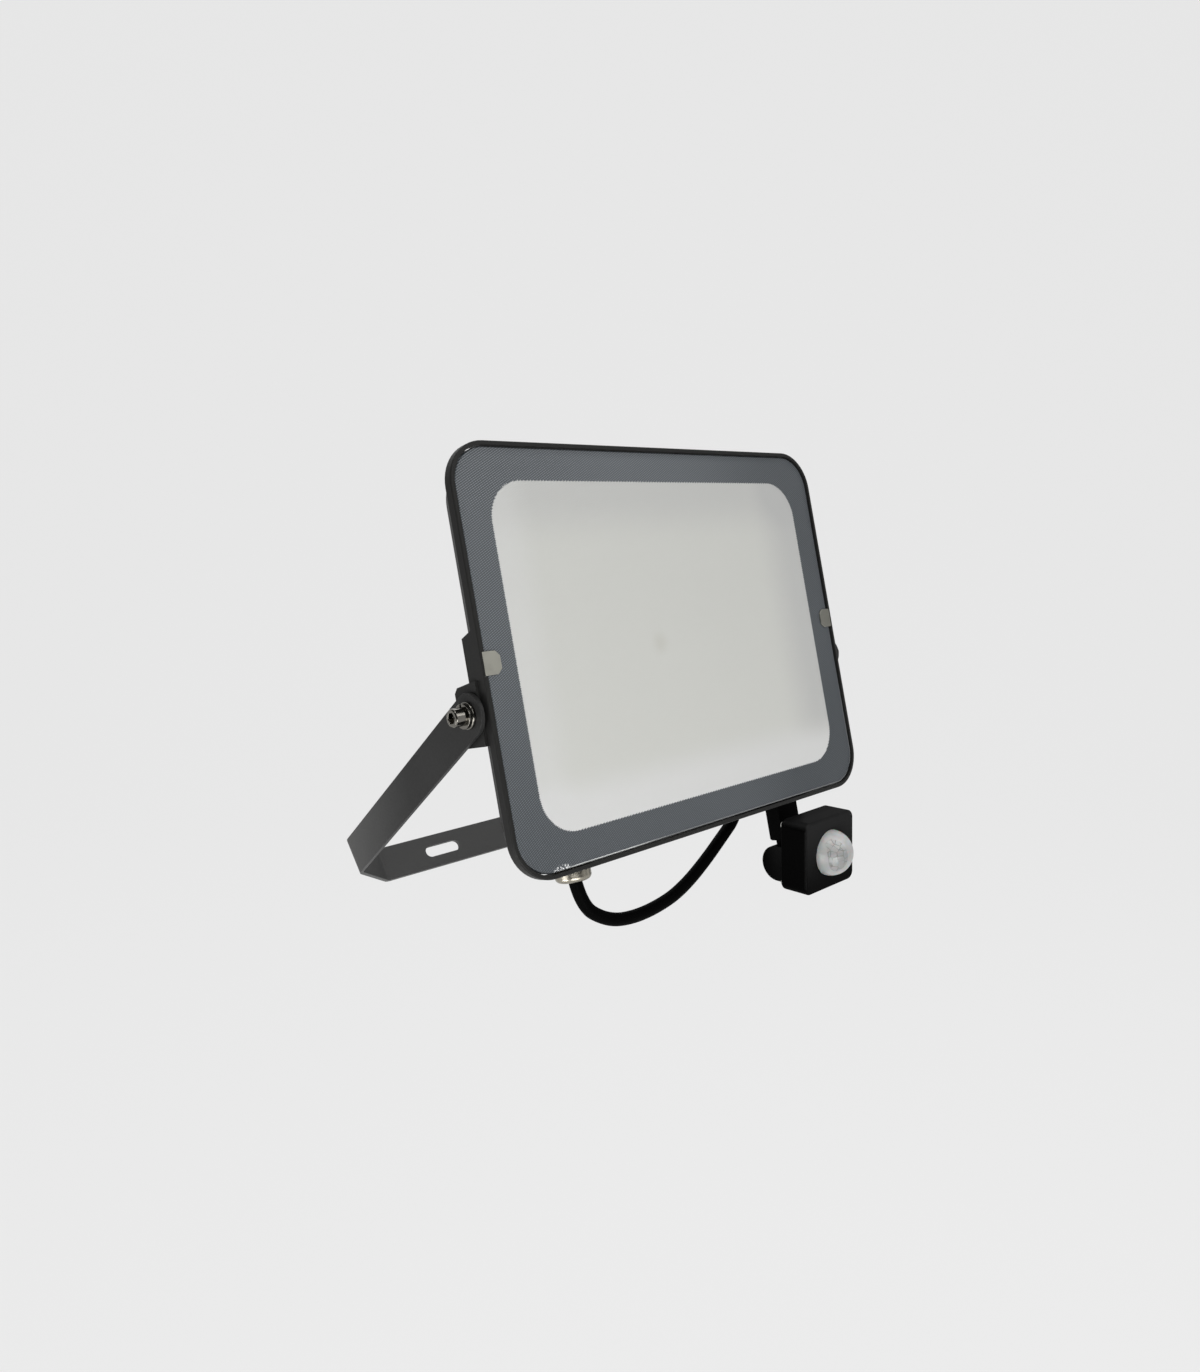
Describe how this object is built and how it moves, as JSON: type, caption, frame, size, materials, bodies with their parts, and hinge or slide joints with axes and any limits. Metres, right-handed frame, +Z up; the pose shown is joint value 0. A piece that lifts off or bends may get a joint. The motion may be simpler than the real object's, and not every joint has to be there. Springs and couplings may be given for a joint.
{
  "type": "motion sensor floodlight",
  "caption": "Slim wall floodlight with a finned die-cast housing, frosted glass, a tilting U bracket and a motion sensor head on an arm under it.",
  "frame": {"origin": "middle of the bracket's outer face, in the centre hole, where the bracket meets the wall", "axes": "+X along the lamp's width to the right, -Y the way the lamp shines, +Z up, as the picture shows it standing"},
  "size_m": [0.2976, 0.2032, 0.2602],
  "materials": {
    "bracket_paint": "satin powder coat, dark grey",
    "housing_coat": "satin powder coat on die-cast aluminium, dark grey",
    "glass": "toughened, frosted window with a slate grey printed border",
    "gasket": "matt silicone",
    "reflector": "matt white",
    "board": "white solder mask on an aluminium core",
    "led": "yellow phosphor under clear resin",
    "component": "black moulded parts",
    "steel": "bright stainless",
    "zinc": "bright zinc plate",
    "nickel": "nickel plate on brass",
    "seal": "matt",
    "cord_jacket": "matt black rubber jacket",
    "black_plastic": "fine moulded grain, black",
    "block_plastic": "natural nylon",
    "lens": "milky polyethylene, translucent",
    "green_board": "green fibreglass board",
    "can": "nickel-plated can",
    "trimmer": "dark grey moulded"
  },
  "bodies": {
    "bracket": {"bracket": "bracket_paint"},
    "lamp": {"housing": "housing_coat", "glass_panel": "glass", "glass_gasket": "gasket", "reflector_tray": "reflector", "led_board": "board", "led_chips": "led", "driver_components": "component", "board_screws": "zinc", "clip_left": "steel", "clip_right": "steel", "pivot_bolts": "steel", "spring_washers": "steel", "flat_washers": "steel", "gland_body": "nickel", "gland_nut": "nickel", "gland_seal": "seal", "lamp_cord": "cord_jacket", "sensor_arm": "black_plastic", "arm_screws": "zinc", "junction_cover": "black_plastic", "cover_screws": "zinc", "terminal_block": "block_plastic", "cord_grommet": "seal"},
    "sensor_head": {"sensor_front_shell": "black_plastic", "sensor_rear_shell": "black_plastic", "fresnel_dome": "lens", "sensor_board": "green_board", "infrared_element": "can", "sensor_components": "component", "trimmer_pots": "component", "shell_screws": "zinc", "knuckle_screw": "zinc", "knuckle_nut": "zinc"},
    "sensitivity_trimmer": {"sensitivity_trimmer": "trimmer"},
    "time_trimmer": {"time_trimmer": "trimmer"},
    "light_trimmer": {"light_trimmer": "trimmer"}
  },
  "joints": [
    {"name": "lamp_tilt", "type": "hinge", "parent": "bracket", "child": "lamp", "pos_m": [0, -0.13886, 0.11965], "axis": [1, 0, 0], "range_deg": [-116.2, 63.8]},
    {"name": "sensor_tilt", "type": "hinge", "parent": "lamp", "child": "sensor_head", "pos_m": [0.09035, -0.15153, -0.00388], "axis": [1, 0, 0], "range_deg": [-18, 60]},
    {"name": "sensitivity_turn", "type": "hinge", "parent": "sensor_head", "child": "sensitivity_trimmer", "pos_m": [0.07835, -0.17687, -0.01357], "axis": [0, 0.0523, 0.9986], "range_deg": [-135, 135]},
    {"name": "time_turn", "type": "hinge", "parent": "sensor_head", "child": "time_trimmer", "pos_m": [0.09035, -0.17687, -0.01357], "axis": [0, 0.0523, 0.9986], "range_deg": [-135, 135]},
    {"name": "light_turn", "type": "hinge", "parent": "sensor_head", "child": "light_trimmer", "pos_m": [0.10235, -0.17687, -0.01357], "axis": [0, 0.0523, 0.9986], "range_deg": [-135, 135]}
  ]
}
